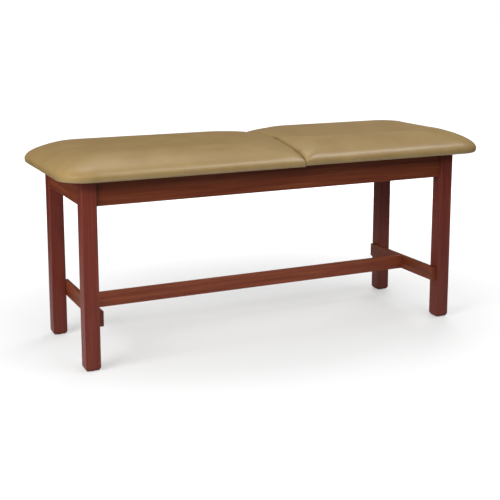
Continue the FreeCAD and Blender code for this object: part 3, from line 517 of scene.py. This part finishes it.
def grid_faces(index):
    n, m = index.shape
    return [(index[i, j], index[i+1, j], index[i+1, j+1], index[i, j+1])
            for i in range(n-1) for j in range(m-1)]


def pad_mesh(pad):
    q = shoulder(pad)-SPLIT_GAP
    us = grid_lines(SPLIT_GAP, pad.length, FIRST_LINES+[q/2]+[q+c for c in ROLL_LINES], TURNS)
    ys = grid_lines(-HALF_W, HALF_W, TURNS, TURNS)
    u, y = press_corners(*np.meshgrid(us, ys, indexing="ij"), pad)
    h = np.minimum(dome(pad, u, y), np.minimum(slope(pad, u), roll(pad, u)))
    index = np.arange(u.size).reshape(u.shape)
    faces = grid_faces(index)
    rim = np.concatenate([index[:-1, 0], index[-1, :-1], index[:0:-1, -1], index[0, :0:-1]])
    points = [pad.point(u, y, h).reshape(-1, 3)]
    last = rim
    for ring in rim_rings(pad, u.ravel()[rim], y.ravel()[rim], h.ravel()[rim]):
        now = np.arange(len(rim))+sum(len(p) for p in points)
        points.append(pad.point(*ring))
        faces += [(last[k], now[k], now[(k+1) % len(rim)], last[(k+1) % len(rim)]) for k in range(len(rim))]
        last = now
    made = show(pad.part+"_pad", np.concatenate(points), faces, pad.way < 0)
    ridge = set(int(i) for i in index[SHOULDER_LINE])
    for edge in made.data.edges:
        edge.use_edge_sharp = set(edge.vertices) <= ridge
    return made


pads = {pad: pad_mesh(pad) for pad in (SEAT, BACK)}

# %% [markdown]
# ## Stretching the vinyl
# A real cover is pulled tight over foam that pushes back. A short cloth simulation with pressure from
# inside gives the same. Only the sheet above the rolled edge takes part, as the hem under the board
# is stapled down. It starts a little inside the measured form, is held at the edge and beside the
# hinge, and swells. The foam keeps it from going inwards, so only movement outwards counts, and that
# is capped so that the measured form stays.

# %% Cloth step
FRAMES, PRESSURE = 20, 4.0
SWELL = 2.0                             # mm, how far inside the sheet starts, and most that a point may move
HELD_END, FREE_END = 45, 140            # mm from the hinge line: held before, free after
WELD = 0.001                            # mm, points closer than this are one


def stretch(pad, piece):
    mesh = piece.data
    form = np.array([v.co for v in mesh.vertices])
    u, h = (form[:, 0]/MM-HINGE_X)*pad.way, form[:, 2]/MM-pad.base
    free = np.clip((u-HELD_END)/(FREE_END-HELD_END), 0, 1)*np.clip((h-EDGE_HEIGHT)/NOSE, 0, 1)
    faces = [list(f.vertices) for f in mesh.polygons if max(free[i] for i in f.vertices) > 0]
    used = sorted({i for f in faces for i in f})
    number = {old: new for new, old in enumerate(used)}
    outward = np.array([v.normal for v in mesh.vertices])[used]
    most = SWELL*MM*free[used]
    start = form[used]-outward*most[:, None]
    sheet = show(pad.part+"_sheet", start, [[number[i] for i in f] for f in faces], False)
    held = sheet.vertex_groups.new(name="held")
    held.add([number[i] for i in used if free[i] == 0], 1.0, "REPLACE")
    cloth = sheet.modifiers.new("stretch", "CLOTH")
    cloth.settings.use_pressure = True
    cloth.settings.uniform_pressure_force = PRESSURE
    cloth.settings.vertex_group_mass = "held"
    cloth.settings.effector_weights.gravity = 0
    cloth.point_cache.frame_end = FRAMES
    for f in range(1, FRAMES+1):
        scene.frame_set(f)
    shaped = sheet.evaluated_get(bpy.context.evaluated_depsgraph_get())
    move = np.array([v.co for v in shaped.data.vertices])-start
    swelled = (move*outward).sum(1)
    form[used] = start+outward*np.clip(swelled, 0, most)[:, None]
    bpy.data.objects.remove(sheet)
    scene.frame_set(1)
    mesh.vertices.foreach_set("co", form.ravel())
    mesh.update()
    capped = round(100*float((swelled > most).mean()))
    print(piece.name, "swelled by up to", round(float(swelled.max())/MM, 1), "mm,", capped,
          "percent at the cap")


def weld(piece):
    """Merges points that coincide, as the hem has no width beside the hinge."""
    work = bmesh.new()
    work.from_mesh(piece.data)
    bmesh.ops.remove_doubles(work, verts=work.verts, dist=WELD*MM)
    work.to_mesh(piece.data)
    work.free()
    print(piece.name, len(piece.data.vertices), "points after welding")


for pad, piece in pads.items():
    stretch(pad, piece)
for piece in pads.values():
    weld(piece)

# %% [markdown]
# ## Soft edges beside the hinge
# With the top flat the two pads press together in a tight seam, and with the backrest up the foam
# gives way there. So the outermost wedge of foam is a skin of its own: at rest it carries the dome on
# to the seam with a small rounded edge.

# %% Edge skins
SEAM_GAP = 0.4           # mm, skin to the hinge line
SEAM_ROUND = 9           # mm, rounded upper edge
ROUND_LINES, BACK_LINES = 7, 4                  # grid lines round that edge, and behind it
FACE_SHARES = np.array([0, 0.4, 0.7, 0.9])      # grid lines up the seam face, as shares of its height


def edge_skin(pad):
    end = shoulder(pad)
    middle_u = SEAM_GAP+SEAM_ROUND
    middle_h = pad.roll_h+math.sqrt((pad.roll_r-SEAM_ROUND)**2-(middle_u-pad.roll_u)**2)
    stop = math.atan2(middle_h-pad.roll_h, middle_u-pad.roll_u)
    turns = np.linspace(math.pi, stop, ROUND_LINES)
    face = len(FACE_SHARES)
    behind = np.linspace(middle_u+SEAM_ROUND*math.cos(stop), end, BACK_LINES)[1:]
    us = np.concatenate([np.full(face, SEAM_GAP), middle_u+SEAM_ROUND*np.cos(turns), behind])
    tops = np.concatenate([np.full(face, middle_h), middle_h+SEAM_ROUND*np.sin(turns), roll(pad, behind)])
    ys = grid_lines(-HALF_W, HALF_W, TURNS, TURNS)
    ys = ys[dome(pad, np.full_like(ys, SEAM_GAP), ys) > pad.hinge+1]
    u, y = np.meshgrid(us, ys, indexing="ij")
    h = np.minimum(dome(pad, u, y), tops[:, None])
    h[:face] = pad.hinge+(h[:face]-pad.hinge)*FACE_SHARES[:, None]
    points = pad.point(u, y, h).reshape(-1, 3)
    return show(pad.part+"_pad_edge", points, grid_faces(np.arange(u.size).reshape(u.shape)), pad.way < 0)


edges = {pad: edge_skin(pad) for pad in (SEAT, BACK)}

# %% [markdown]
# ## Finish
# The pads take over from the plain CAD covers and foams, and ride on the same bodies.

# %% Hand over to the frame
for pad, body in ((SEAT, "table"), (BACK, "backrest")):
    for piece in (pads[pad], edges[pad]):
        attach(piece, body)
    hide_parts(pad.part+"_cover", pad.part+"_foam")
    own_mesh(edges[pad])
